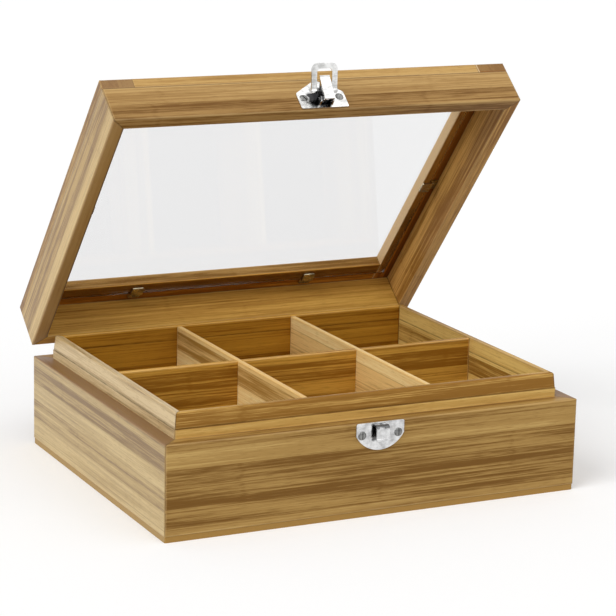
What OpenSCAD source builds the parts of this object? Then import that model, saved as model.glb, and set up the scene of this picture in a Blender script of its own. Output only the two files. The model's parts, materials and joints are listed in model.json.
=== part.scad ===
// Tea bag organizer box: a mitred bamboo box with six compartments, a framed window lid on two
// stop hinges, and a small draw latch on the front. Millimetres, +Z up, front towards -Y.
// The origin is the centre of the underside.

/* [Box] */
// Width of the box, left to right
box_w = 228; // [200:1:260]
// Depth of the box, front to back
box_d = 182; // [160:1:210]
// Height of the outer walls, which is where the lid meets them
wall_top = 48.5; // [44:0.5:70]
// Thickness of the outer walls
wall_t = 8; // [7.5:0.5:10]
// Thickness of the bottom board
bottom_t = 3; // [2:0.5:5]
// How far the edge of the bottom board stays behind the faces of the walls
bottom_inset = 0.3; // [0:0.1:1]
// Radius of the eased outer edges of walls and lid
ease_r = 1; // [0.4:0.1:1.5]
// Radius of the eased edges of the thin boards
fine_ease_r = 0.5; // [0.2:0.1:0.8]

/* [Liner and dividers] */
// Thickness of the liner boards, whose tops make the lip that the lid drops over
liner_t = 4.5; // [3.5:0.5:8]
// Height of the lip above the outer walls
lip_h = 12.5; // [8:0.5:14]
// Height of the lip's straight foot above the outer walls
lip_foot_h = 4.5; // [2:0.5:6]
// How far the lip steps in above its foot
lip_step = 0.5; // [0.2:0.1:0.8]
// How far the lip leans in from there to its top
lip_lean = 0.6; // [0:0.1:0.8]
// Radius of the rounded outer edge of the lip
lip_round_r = 1.2; // [0.5:0.1:1.5]
// Thickness of the dividers
divider_t = 3; // [2:0.5:6]
// How far the tops of the dividers stay below the top of the lip
divider_drop = 0.5; // [0:0.1:3]
// Play on each side of the halving joints where the dividers cross
halving_play = 0.1; // [0.05:0.05:0.3]

/* [Lid] */
// Height of the lid's rails, from the parting line to the top frame
rail_h = 20.3; // [16:0.5:30]
// Room between the lip and the inside of the lid's rails
lip_clear = 0.8; // [0.6:0.1:1]
// Parting gap between the closed lid and the outer walls
lid_gap = 0.3; // [0.2:0.1:0.6]
// Thickness of the top frame
frame_t = 6; // [5.5:0.5:8]
// Width of the side stiles of the top frame
stile_w = 17; // [16.5:0.5:26]
// Width of the front and back members of the top frame
member_w = 21; // [20:0.5:30]
// Angle that the lid stands open at rest
lid_open = 50; // [0:1:98]
// Angle at which the hinges stop the lid
lid_stop = 98; // [90:1:105]

/* [Window] */
// Thickness of the pane
pane_t = 2; // [1.5:0.5:3]
// How far the pane reaches over the stiles
pane_over_side = 4; // [3:0.5:4.5]
// How far the pane reaches over the front and back members
pane_over_front = 6.5; // [4:0.5:7]
// Width of the clips that hold the pane
clip_w = 7; // [5:0.5:9]
// Thickness of the clips
clip_t = 0.7; // [0.5:0.1:1]
// Length of the clip's foot, which is screwed to the top frame
clip_foot = 5.2; // [5:0.1:5.4]
// Length of the clip's tongue over the pane
clip_tongue = 5; // [3:0.5:7]
// Distance of the front and back clips from the middle of the lid
clip_x = 52; // [30:1:80]

/* [Hinges] */
// Distance of the hinges from the middle of the box
hinge_x = 72; // [45:1:78]
// How far the hinge axis stands behind the back wall
hinge_out = 6; // [5:0.25:7]
// Width of the hinge leaves
leaf_w = 28; // [20:1:36]
// Height of the hinge leaves, from the axis
leaf_h = 14; // [12:0.5:16]
// Thickness of the hinge leaves
leaf_t = 1.2; // [1:0.1:1.4]
// Outer radius of the hinge knuckles
knuckle_r = 3; // [2.75:0.25:3.25]
// Radius of the hinge pins
hinge_pin_r = 1.5; // [1.2:0.1:1.7]
// Gap between neighbouring knuckles
knuckle_gap = 0.3; // [0.2:0.1:0.5]
// Running clearance of the moving knuckle on its pin
hinge_play = 0.05; // [0.03:0.01:0.08]
// Angle of the stop heel below the level when the lid is closed
heel_drop = 30; // [20:1:35]
// Gap that the heel leaves to the fixed leaf at the end of the lid's travel
stop_gap = 0.3; // [0.2:0.1:0.5]
// Distance of the hinge screws from the middle of the leaf
hinge_screw_x = 8.5; // [5:0.5:10]
// Distance of the hinge screws from the hinge axis
hinge_screw_z = 8.6; // [7:0.1:9]
// Length of the hinge screws
hinge_screw_l = 7; // [4:0.5:7.5]

/* [Latch] */
// Width of the latch plate and of the strike plate
plate_w = 26.4; // [24:0.2:32]
// Thickness of the latch's sheet metal
plate_t = 0.8; // [0.6:0.1:1]
// Height of the latch plate's bottom edge above the lid's lower edge
plate_lift = 0.8; // [0.4:0.1:2]
// Height of the latch plate's straight sides
plate_side_h = 11; // [10:0.5:14]
// Height of the latch plate's gable above its sides
plate_gable_h = 7; // [4:0.5:8]
// Distance of the latch and strike screws from the middle
latch_screw_x = 10; // [9.8:0.1:11]
// Height of the latch screws above the lid's lower edge
latch_screw_z = 7.5; // [5:0.5:10]
// Length of the latch and strike screws
latch_screw_l = 6; // [4:0.5:7]
// Height of the lever's pivot above the lid's lower edge
pivot_up = 3.6; // [3:0.1:5]
// Distance of the lever's pivot from the lid's face
pivot_out = 4.4; // [4:0.1:5]
// Radius of the lever's pivot pin
pivot_r = 0.8; // [0.6:0.1:1]
// Width of the lever
lever_w = 5.6; // [5:0.2:6]
// Length of the lever from its pivot to the start of the curled tip
lever_l = 9.2; // [8:0.2:10]
// Distance of the lever's outer face from its pivot
lever_rise = 4.15; // [3.8:0.05:4.4]
// How far the lever's outer face reaches behind its pivot
lever_heel = 2; // [1:0.1:2.2]
// Angle that the lever stands off its closed position at rest
lever_rest = 16; // [0:1:60]
// Distance of the bail's pivot from the lever's pivot, along the lever
bail_along = 4.4; // [4:0.1:5]
// How far the bail's pivot lies inside the line of the lever's pivot
bail_inward = 0.4; // [0:0.1:0.8]
// Length of the bail from its pivot to the middle of its crossbar
bail_l = 12.7; // [12.4:0.1:13]
// Width of the bail's arms
bail_arm_w = 3; // [2:0.1:3.2]
// Width of the window in the bail
bail_window_w = 8.4; // [8.2:0.1:9]
// Width of the bail's crossbar
crossbar_w = 2.8; // [2:0.1:3]
// Thickness of the bail
bail_t = 1; // [0.8:0.1:1.1]
// Angle of the bail from the lid's face at rest
bail_rest = 50; // [0:1:120]
// Radius of the pin that the bail swings on
bail_pin_r = 0.7; // [0.5:0.05:0.8]
// Radius of the rolled eyes at the ends of the bail's arms
bail_eye_r = 1.25; // [1.15:0.05:1.3]
// Radius of the bail's outer corners
bail_corner_r = 3.4; // [2:0.1:4]
// Radius of the corners of the bail's window
bail_window_r = 1.8; // [1:0.1:2.4]
// Running clearance of the latch's pivots
latch_play = 0.05; // [0.03:0.01:0.08]

/* [Strike] */
// Height of the strike plate's straight sides
strike_side_h = 6.5; // [5:0.5:8]
// Depth of the strike plate's round end below its sides
strike_arc_h = 7.8; // [6:0.2:9]
// Depth of the strike screws below the top of the wall
strike_screw_z = 6.3; // [5:0.1:7]
// Width of the hook that the bail catches
hook_w = 7; // [5:0.2:7.4]
// Depth of the top of the hook below the top of the wall
hook_top = 1.2; // [1:0.1:2]
// Depth of the hook's free end below the top of the wall
hook_end = 9; // [8:0.1:9.4]
// Distance of the inside of the hook from the wall
hook_in = 3.2; // [3.2:0.05:3.5]
// Thickness of the hook
hook_t = 0.9; // [0.7:0.05:1]

/* [Screws] */
// Radius of the screw shanks
shank_r = 1.1; // [0.8:0.1:1.2]
// Radius of the hinge screws' flat heads
hinge_head_r = 2; // [1.6:0.1:2.4]
// Radius of the latch screws' raised heads
latch_head_r = 2.2; // [1.8:0.1:2.3]
// Radius of the clip screws' round heads
clip_head_r = 1.6; // [1.4:0.1:1.8]
// Length of the clip screws
clip_screw_l = 5; // [3:0.5:5.5]
// Depth of the cone under a countersunk head, which cuts the plate from its face
sink_h = 0.8; // [0.6:0.1:1]
// Height of the raised part of a head
dome_h = 0.7; // [0.4:0.1:0.9]
// Width of the screws' slots
slot_w = 0.6; // [0.4:0.1:0.8]
// Play round a screw in its hole
screw_play = 0.02; // [0:0.01:0.05]

/* [Hidden] */
$fn = 48;

bamboo = [0.72, 0.55, 0.35];
bamboo_inside = [0.62, 0.44, 0.22];
bright_metal = [0.86, 0.86, 0.88];
dark_metal = [0.36, 0.28, 0.2];
clear_pane = [0.9, 0.94, 0.97, 0.35];

// Sides of a four-sided frame, counted from the front, anticlockwise seen from above
front = 0;
right = 1;
back = 2;
left = 3;

eps = 0.01;
cut_over = 1;

rail_t = wall_t - lip_clear;
liner_w = box_w - 2 * wall_t;
liner_d = box_d - 2 * wall_t;
inner_w = liner_w - 2 * liner_t;
inner_d = liner_d - 2 * liner_t;
lip_top = wall_top + lip_h;
divider_top = lip_top - divider_drop;
divider_h = divider_top - bottom_t;
// Middles of the two cross dividers, which part the width in three
cross_x = (inner_w - 2 * divider_t) / 6 + divider_t / 2;

lid_z = wall_top + lid_gap;
frame_z = lid_z + rail_h;
opening_w = box_w - 2 * stile_w;
opening_d = box_d - 2 * member_w;
pane_w = opening_w + 2 * pane_over_side;
pane_d = opening_d + 2 * pane_over_front;

hinge_y = box_d / 2 + hinge_out;
hinge_z = wall_top + lid_gap / 2;
knuckle_l = (leaf_w - 2 * knuckle_gap) / 3;
// The leaf's flange enters the knuckle a little inside its tangent
flange_out = knuckle_r - 0.1;
// Direction of the heel at the stop, measured up from straight towards the fixed leaf
heel_turn = 180 - heel_drop - lid_stop;
heel_l = (hinge_out - leaf_t - stop_gap - leaf_t / 2 * sin(heel_turn)) / cos(heel_turn);

// The lever's parts lie between the plate's ears, and the bail's arms outside them
lever_sheet = 0.8;
ear_gap = 0.3;
bail_w = bail_window_w + 2 * bail_arm_w;
ear_t = 0.7;
ear_in = lever_w / 2 + ear_gap;
ear_r = 2.1;
cheek_r = 2;
cheek_end_r = 1.5;
pin_end = 0.2;
// Where the lever's cheeks end: below the tip of the web, and beside and above the bail's pin
cheek_top_drop = 0.5;
cheek_shoulder = [1, 1.4];
tip_curl_r = 3;
tip_curl = 35;
hook_bend_r = 1.6;

// Places and turns

module lid_pose() {
    translate([0, hinge_y, hinge_z]) rotate([-lid_open, 0, 0]) translate([0, -hinge_y, -hinge_z])
        children();
}

// Puts a board that is drawn along X, with its outer face on y = 0, on one side of a frame
module on_side(side, w, d) {
    rotate([0, 0, 90 * side]) translate([0, -(side % 2 == 0 ? d : w) / 2, 0]) children();
}

module hinge_place(x) {
    translate([x, hinge_y, hinge_z]) children();
}

// Latch parts are drawn on the plane y = 0 with z = 0 at the lid's lower edge
module latch_place() {
    lid_pose() translate([0, -box_d / 2, lid_z]) children();
}

module lever_place() {
    latch_place() translate([0, -pivot_out, pivot_up]) rotate([lever_rest, 0, 0]) children();
}

module bail_place() {
    lever_place() translate([0, bail_inward, bail_along]) rotate([bail_rest - lever_rest, 0, 0])
        children();
}

module strike_place() {
    translate([0, -box_d / 2, wall_top]) children();
}

// Stands a shape drawn in width and height out from a face that looks towards -Y
module stand_out(t) {
    rotate([90, 0, 0]) linear_extrude(t) children();
}

// Extrudes a profile, drawn as distance out and height, across the middle of the latch
module across(w) {
    rotate([90, 0, -90]) linear_extrude(w, center = true) children();
}

module along_x(l) {
    rotate([0, 90, 0]) linear_extrude(l, center = true) children();
}

// Shapes that repeat

// What a round of radius r takes off a corner at the origin
module corner_cut(r) {
    difference() {
        translate([-cut_over, -cut_over]) square(r + cut_over);
        translate([r, r]) circle(r);
    }
}

// Rectangle with rounds at its lower left, lower right, upper right and upper left corners
module eased_rect(w, h, r) {
    corners = [[0, 0], [w, 0], [w, h], [0, h]];
    difference() {
        square([w, h]);
        for (k = [0:3])
            if (r[k] > 0) translate(corners[k]) rotate(90 * k) corner_cut(r[k]);
    }
}

// One board of a mitred frame, from height z0 to z1, with rounds on its long edges and ends
module mitred_board(l, t, z0, z1, rounds, end_r) {
    mitred_profile(l, t, z0, z1, end_r) eased_rect(t, z1 - z0, rounds);
}

// The same from a profile, drawn as distance in from the board's outer face and height above z0
module mitred_profile(l, t, z0, z1, end_r) {
    intersection() {
        translate([0, 0, z0]) rotate([90, 0, 90]) linear_extrude(l, center = true)
            children();
        translate([0, 0, z0]) linear_extrude(z1 - z0) difference() {
            polygon([[-l / 2, 0], [l / 2, 0], [l / 2 - t, t], [-l / 2 + t, t]]);
            translate([-l / 2, 0]) corner_cut(end_r);
            translate([l / 2, 0]) rotate(90) corner_cut(end_r);
        }
    }
}

// Screw with its head's rim at z = 0 and its shank down; dome is the height of its raised head
module screw(head_r, l, sink, dome) {
    tip_h = 2 * shank_r;
    slot_depth = dome > 0 ? dome * 0.9 : 0.5;
    ball_r = dome > 0 ? (head_r * head_r + dome * dome) / (2 * dome) : head_r;
    difference() {
        union() {
            if (sink > 0) translate([0, 0, -sink]) cylinder(r1 = shank_r, r2 = head_r, h = sink);
            translate([0, 0, -l + tip_h]) cylinder(r = shank_r, h = l - tip_h - sink + eps);
            translate([0, 0, -l]) cylinder(r1 = 0.2, r2 = shank_r, h = tip_h);
            if (dome > 0) intersection() {
                translate([0, 0, dome - ball_r]) sphere(ball_r);
                cylinder(r = head_r, h = dome);
            }
        }
        translate([-head_r - eps, -slot_w / 2, dome - slot_depth])
            cube([2 * (head_r + eps), slot_w, slot_depth + eps]);
    }
}

// The hole that such a screw needs in the plate and the wood under it
module screw_hole(head_r, l, sink) {
    if (sink > 0) {
        translate([0, 0, -sink])
            cylinder(r1 = shank_r + screw_play, r2 = head_r + screw_play, h = sink);
        cylinder(r = head_r + screw_play, h = cut_over);
    }
    translate([0, 0, -l - screw_play]) cylinder(r = shank_r + screw_play, h = l + cut_over);
}

// Screw places: each puts a screw, drawn along Z, with its rim on the face it sits in

module at_strike_screws() {
    strike_place() for (s = [-1, 1])
        translate([s * latch_screw_x, -plate_t, -strike_screw_z]) rotate([90, 0, 0]) rotate(90)
            children();
}

module at_latch_screws() {
    latch_place() for (s = [-1, 1])
        translate([s * latch_screw_x, -plate_t, latch_screw_z]) rotate([90, 0, 0]) rotate(60 * s)
            children();
}

module at_hinge_screws(x, up) {
    hinge_place(x) for (s = [-1, 1])
        translate([s * hinge_screw_x, leaf_t - hinge_out, up * hinge_screw_z]) rotate([-90, 0, 0])
            rotate(35 * s + 20) children();
}

module at_clip(place) {
    lid_pose() translate([place[0], place[1], frame_z]) rotate([0, 0, place[2]]) children();
}

module at_clip_screw(place) {
    at_clip(place) translate([0, clip_foot / 2 + 0.3, -clip_t]) rotate([180, 0, 0]) rotate(25)
        children();
}

// Clip places: the pane's edge, and the turn that points the clip's foot away from the pane
clip_back_left = [-clip_x, pane_d / 2, 0];
clip_back_right = [clip_x, pane_d / 2, 0];
clip_front_left = [-clip_x, -pane_d / 2, 180];
clip_front_right = [clip_x, -pane_d / 2, 180];
clip_left = [-pane_w / 2, 0, 90];
clip_right = [pane_w / 2, 0, -90];
clip_places = [clip_back_left, clip_back_right, clip_front_left, clip_front_right, clip_left,
    clip_right];

// Base

module bottom_board() {
    color(bamboo_inside) intersection() {
        translate([0, 0, bottom_t / 2]) cube([box_w - 2 * bottom_inset, box_d - 2 * bottom_inset,
            bottom_t], center = true);
        linear_extrude(bottom_t) translate([-box_w / 2 + bottom_inset, -box_d / 2 + bottom_inset])
            eased_rect(box_w - 2 * bottom_inset, box_d - 2 * bottom_inset, ease_r * [1, 1, 1, 1]);
    }
}

module outer_wall(side) {
    color(bamboo) difference() {
        on_side(side, box_w, box_d)
            mitred_board(side % 2 == 0 ? box_w : box_d, wall_t, bottom_t, wall_top,
                [fine_ease_r, 0, 0, ease_r], ease_r);
        if (side == front) at_strike_screws() screw_hole(latch_head_r, latch_screw_l, 0);
        if (side == back) for (x = [-hinge_x, hinge_x])
            at_hinge_screws(x, -1) screw_hole(hinge_head_r, hinge_screw_l, 0);
    }
}

// A liner board's profile: its foot, then the lip that steps in and leans in to a rounded top
module liner_profile() {
    foot_z = wall_top + lip_foot_h - bottom_t;
    top_z = lip_top - bottom_t;
    square([liner_t, foot_z]);
    hull() {
        translate([lip_step, foot_z - cut_over]) square([liner_t - lip_step, cut_over]);
        translate([lip_step + lip_lean + lip_round_r, top_z - lip_round_r]) circle(lip_round_r);
        translate([liner_t - fine_ease_r, top_z - fine_ease_r]) circle(fine_ease_r);
    }
}

module liner(side) {
    color(bamboo) on_side(side, liner_w, liner_d)
        mitred_profile(side % 2 == 0 ? liner_w : liner_d, liner_t, bottom_t, lip_top, ease_r)
        liner_profile();
}

// A divider along X, with its slots cut from the top or from the bottom
module divider(l, slots, from_top) {
    slot_h = divider_h / 2 + halving_play;
    slot = divider_t + 2 * halving_play;
    difference() {
        translate([0, 0, bottom_t]) rotate([90, 0, 90]) linear_extrude(l, center = true)
            translate([-divider_t / 2, 0])
            eased_rect(divider_t, divider_h, [0, 0, fine_ease_r, fine_ease_r]);
        for (x = slots)
            translate([x - slot / 2, -divider_t, from_top ? divider_top - slot_h : bottom_t - cut_over])
                cube([slot, 2 * divider_t, slot_h + cut_over]);
    }
}

module long_divider() {
    color(bamboo_inside) divider(inner_w, [-cross_x, cross_x], true);
}

module cross_divider(x) {
    color(bamboo_inside) translate([x, 0, 0]) rotate([0, 0, 90]) divider(inner_d, [0], false);
}

module strike_plate() {
    arc_r = (plate_w * plate_w / 4 + strike_arc_h * strike_arc_h) / (2 * strike_arc_h);
    plate_h = strike_side_h + strike_arc_h;
    color(bright_metal) difference() {
        strike_place() union() {
            stand_out(plate_t) intersection() {
                translate([-plate_w / 2, -plate_h])
                    eased_rect(plate_w, plate_h, [0, 0, ease_r, ease_r]);
                translate([0, arc_r - plate_h]) circle(arc_r);
            }
            across(hook_w) hook_profile();
        }
        at_strike_screws() screw_hole(latch_head_r, latch_screw_l, sink_h);
    }
}

// The hook, drawn as distance out from the wall and height: out at the top, then down
module hook_profile() {
    bend_in = hook_in + hook_t - hook_bend_r;
    bend_z = -hook_top - hook_bend_r;
    lip_r = 1.2;
    translate([plate_t - eps, -hook_top - hook_t]) square([bend_in - plate_t + 2 * eps, hook_t]);
    translate([bend_in, bend_z]) intersection() {
        difference() {
            circle(hook_bend_r);
            circle(hook_bend_r - hook_t);
        }
        square(hook_bend_r + eps);
    }
    translate([hook_in, -hook_end + lip_r]) square([hook_t, hook_end - lip_r + bend_z + eps]);
    translate([hook_in + hook_t + lip_r - hook_t, -hook_end + lip_r + eps]) intersection() {
        difference() {
            circle(lip_r);
            circle(lip_r - hook_t);
        }
        translate([-lip_r - eps, -lip_r - eps]) square(lip_r + 2 * eps);
    }
}

module strike_screws() {
    color(bright_metal) at_strike_screws() screw(latch_head_r, latch_screw_l, sink_h, dome_h);
}

// Hinges

// One leaf, with the hinge axis on X; up is 1 for the lid's leaf and -1 for the box's
module leaf(up, knuckles, bore_r, heel) {
    plate_h = leaf_h - flange_out + leaf_t;
    difference() {
        union() {
            translate([-leaf_w / 2, leaf_t - hinge_out, up > 0 ? flange_out - leaf_t : -leaf_h])
                stand_out(leaf_t)
                eased_rect(leaf_w, plate_h, up > 0 ? [0, 0, ease_r, ease_r] : [ease_r, ease_r, 0, 0]);
            for (x = knuckles) translate([x, 0, 0]) across(knuckle_l) {
                circle(knuckle_r);
                translate([0, up > 0 ? flange_out - leaf_t : -flange_out])
                    square([hinge_out - eps, leaf_t]);
                if (heel) rotate(180 + heel_drop) translate([0, -leaf_t / 2])
                    square([heel_l, leaf_t]);
            }
        }
        along_x(leaf_w + 2 * cut_over) circle(bore_r);
    }
}

module hinge_leaf_base(x) {
    outer_x = knuckle_l + knuckle_gap;
    color(bright_metal) difference() {
        hinge_place(x) leaf(-1, [-outer_x, outer_x], hinge_pin_r, false);
        at_hinge_screws(x, -1) screw_hole(hinge_head_r, hinge_screw_l, sink_h);
    }
}

module hinge_leaf_lid(x) {
    color(bright_metal) lid_pose() difference() {
        hinge_place(x) leaf(1, [0], hinge_pin_r + hinge_play, true);
        at_hinge_screws(x, 1) screw_hole(hinge_head_r, hinge_screw_l, sink_h);
    }
}

module hinge_pin(x) {
    head_h = 0.5;
    color(bright_metal) hinge_place(x) {
        along_x(leaf_w + 2 * eps) circle(hinge_pin_r);
        for (s = [0, 180]) rotate([0, 0, s]) translate([leaf_w / 2, 0, 0]) rotate([0, 90, 0])
            cylinder(r1 = hinge_pin_r + 0.3, r2 = hinge_pin_r - 0.3, h = head_h);
    }
}

module hinge_screws_base() {
    color(bright_metal) for (x = [-hinge_x, hinge_x])
        at_hinge_screws(x, -1) screw(hinge_head_r, hinge_screw_l, sink_h, 0);
}

module hinge_screws_lid() {
    color(bright_metal) for (x = [-hinge_x, hinge_x])
        lid_pose() at_hinge_screws(x, 1) screw(hinge_head_r, hinge_screw_l, sink_h, 0);
}

// Lid

module lid_rail(side) {
    color(bamboo) difference() {
        lid_pose() on_side(side, box_w, box_d)
            mitred_board(side % 2 == 0 ? box_w : box_d, rail_t, lid_z, frame_z,
                [ease_r, fine_ease_r, 0, 0], ease_r);
        if (side == front) at_latch_screws() screw_hole(latch_head_r, latch_screw_l, 0);
        if (side == back) for (x = [-hinge_x, hinge_x])
            lid_pose() at_hinge_screws(x, 1) screw_hole(hinge_head_r, hinge_screw_l, 0);
    }
}

// The whole outline of the top frame, with every outer edge eased
module top_outline() {
    intersection() {
        translate([0, 0, frame_z]) linear_extrude(frame_t) translate([-box_w / 2, -box_d / 2])
            eased_rect(box_w, box_d, ease_r * [1, 1, 1, 1]);
        rotate([90, 0, 90]) linear_extrude(box_w, center = true) translate([-box_d / 2, frame_z])
            eased_rect(box_d, frame_t, [0, 0, ease_r, ease_r]);
        rotate([90, 0, 0]) linear_extrude(box_d, center = true) translate([-box_w / 2, frame_z])
            eased_rect(box_w, frame_t, [0, 0, ease_r, ease_r]);
    }
}

// A member across the front or the back, between the stiles
module top_frame_member(s) {
    color(bamboo) difference() {
        lid_pose() intersection() {
            top_outline();
            translate([-opening_w / 2, s > 0 ? box_d / 2 - member_w : -box_d / 2, frame_z])
                cube([opening_w, member_w, frame_t]);
        }
        for (p = s > 0 ? [clip_back_left, clip_back_right] : [clip_front_left, clip_front_right])
            at_clip_screw(p) screw_hole(clip_head_r, clip_screw_l, 0);
    }
}

// A stile down the left or the right, over the whole depth
module top_frame_stile(s) {
    color(bamboo) difference() {
        lid_pose() intersection() {
            top_outline();
            translate([s > 0 ? box_w / 2 - stile_w : -box_w / 2, -box_d / 2, frame_z])
                cube([stile_w, box_d, frame_t]);
        }
        at_clip_screw(s > 0 ? clip_right : clip_left) screw_hole(clip_head_r, clip_screw_l, 0);
    }
}

module window_pane() {
    color(clear_pane) lid_pose() translate([0, 0, frame_z - pane_t / 2])
        cube([pane_w, pane_d, pane_t], center = true);
}

// A stepped strap: its foot lies on the top frame and its tongue laps over the pane
module pane_clip(place) {
    step_gap = 0.3;
    clip_l = clip_tongue + step_gap + clip_foot;
    step_z = -pane_t - clip_t;
    color(dark_metal) difference() {
        at_clip(place) intersection() {
            rotate([90, 0, 90]) linear_extrude(clip_w, center = true) {
                translate([step_gap, -clip_t]) square([clip_foot, clip_t]);
                translate([step_gap, step_z]) square([clip_t, -step_z]);
                translate([-clip_tongue, step_z]) square([clip_tongue + step_gap + clip_t, clip_t]);
            }
            translate([-clip_w / 2, -clip_tongue, step_z]) linear_extrude(-step_z)
                eased_rect(clip_w, clip_l, ease_r * [1, 1, 1, 1]);
        }
        at_clip_screw(place) screw_hole(clip_head_r, clip_screw_l, 0);
    }
}

module clip_screws() {
    color(dark_metal) for (p = clip_places)
        at_clip_screw(p) screw(clip_head_r, clip_screw_l, 0, dome_h);
}

// Draw latch

module latch_plate() {
    corner_r = 0.8;
    shoulder_r = 2;
    half_w = plate_w / 2;
    shoulder_z = plate_lift + plate_side_h - shoulder_r;
    peak_z = plate_lift + plate_side_h + plate_gable_h - shoulder_r;
    color(bright_metal) difference() {
        latch_place() union() {
            stand_out(plate_t) hull() {
                for (s = [-1, 1]) {
                    translate([s * (half_w - corner_r), plate_lift + corner_r]) circle(corner_r);
                    translate([s * (half_w - shoulder_r), shoulder_z]) circle(shoulder_r);
                }
                translate([0, peak_z]) circle(shoulder_r);
            }
            for (s = [-1, 1]) translate([s * (ear_in + ear_t / 2), 0, 0]) across(ear_t) {
                translate([pivot_out, pivot_up]) circle(ear_r);
                translate([plate_t - eps, pivot_up - ear_r]) square([pivot_out - plate_t, 2 * ear_r]);
            }
        }
        latch_place() translate([0, -pivot_out, pivot_up])
            along_x(2 * (ear_in + ear_t) + cut_over) circle(pivot_r);
        at_latch_screws() screw_hole(latch_head_r, latch_screw_l, sink_h);
    }
}

module latch_screws() {
    color(bright_metal) at_latch_screws() screw(latch_head_r, latch_screw_l, sink_h, dome_h);
}

module latch_pin() {
    color(bright_metal) latch_place() translate([0, -pivot_out, pivot_up])
        along_x(2 * (ear_in + ear_t + pin_end)) circle(pivot_r);
}

// The lever is a channel, drawn with its pivot at the origin and its closed length along Z
module latch_lever() {
    color(bright_metal) lever_place() difference() {
        union() {
            across(lever_w) lever_web_profile();
            for (s = [-1, 1]) translate([s * (lever_w - lever_sheet) / 2, 0, 0])
                across(lever_sheet) lever_cheek_profile();
        }
        along_x(lever_w + cut_over) circle(pivot_r + latch_play);
        translate([0, bail_inward, bail_along]) along_x(lever_w + cut_over) circle(bail_pin_r);
    }
}

// The lever's outer sheet, drawn as distance out and height, with a tip that curls outward
module lever_web_profile() {
    inner = lever_rise - lever_sheet;
    translate([inner, -lever_heel]) square([lever_sheet, lever_heel + lever_l]);
    translate([lever_rise + tip_curl_r - lever_sheet, lever_l - eps]) intersection() {
        difference() {
            circle(tip_curl_r);
            circle(tip_curl_r - lever_sheet);
        }
        polygon([[0, 0], [-2 * tip_curl_r, 0],
            [-2 * tip_curl_r * cos(tip_curl), 2 * tip_curl_r * sin(tip_curl)]]);
    }
}

module lever_cheek_profile() {
    inner = lever_rise - lever_sheet + eps;
    circle(cheek_r);
    translate([-bail_inward, bail_along]) circle(cheek_end_r);
    polygon([[inner, -lever_heel], [inner, lever_l - cheek_top_drop],
        [-bail_inward, bail_along] + cheek_shoulder, [-bail_inward - cheek_end_r, bail_along],
        [-cheek_r, 0], [0, -cheek_r]]);
}

// Fixed in the lever's cheeks; the bail turns on it
module bail_pin() {
    color(bright_metal) lever_place() translate([0, bail_inward, bail_along])
        along_x(bail_w + 2 * pin_end) circle(bail_pin_r);
}

// The bail is a stamped loop, drawn with its pin's axis on X and its length along Z; the ends of
// its arms are rolled into eyes
module latch_bail() {
    color(bright_metal) bail_place() difference() {
        union() {
            translate([0, bail_t / 2, 0]) stand_out(bail_t) difference() {
                arch(bail_w, bail_l + crossbar_w / 2, bail_corner_r);
                arch(bail_window_w, bail_l - crossbar_w / 2, bail_window_r);
            }
            for (s = [-1, 1]) translate([s * (bail_window_w + bail_arm_w) / 2, 0, 0])
                along_x(bail_arm_w) circle(bail_eye_r);
        }
        along_x(bail_w + cut_over) circle(bail_pin_r + latch_play);
    }
}

// A strip of width w that ends at height h with rounded corners
module arch(w, h, r) {
    translate([-w / 2, 0]) eased_rect(w, h, [0, 0, r, r]);
}

bottom_board();
outer_wall(front);  // front_wall
outer_wall(right);  // right_wall
outer_wall(back);  // back_wall
outer_wall(left);  // left_wall
liner(front);  // liner_front
liner(right);  // liner_right
liner(back);  // liner_back
liner(left);  // liner_left
long_divider();
cross_divider(-cross_x);  // cross_divider_left
cross_divider(cross_x);  // cross_divider_right
strike_plate();
strike_screws();
hinge_leaf_base(-hinge_x);  // hinge_leaf_base_left
hinge_leaf_base(hinge_x);  // hinge_leaf_base_right
hinge_pin(-hinge_x);  // hinge_pin_left
hinge_pin(hinge_x);  // hinge_pin_right
hinge_screws_base();
lid_rail(front);  // lid_rail_front
lid_rail(right);  // lid_rail_right
lid_rail(back);  // lid_rail_back
lid_rail(left);  // lid_rail_left
top_frame_member(-1);  // top_frame_front
top_frame_member(1);  // top_frame_back
top_frame_stile(-1);  // top_frame_left
top_frame_stile(1);  // top_frame_right
window_pane();
pane_clip(clip_back_left);  // pane_clip_back_left
pane_clip(clip_back_right);  // pane_clip_back_right
pane_clip(clip_front_left);  // pane_clip_front_left
pane_clip(clip_front_right);  // pane_clip_front_right
pane_clip(clip_left);  // pane_clip_left
pane_clip(clip_right);  // pane_clip_right
clip_screws();
hinge_leaf_lid(-hinge_x);  // hinge_leaf_lid_left
hinge_leaf_lid(hinge_x);  // hinge_leaf_lid_right
hinge_screws_lid();
latch_plate();
latch_screws();
latch_pin();
latch_lever();
bail_pin();
latch_bail();
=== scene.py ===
import json
import math

import bpy
from mathutils import Euler, Matrix, Vector

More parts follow.
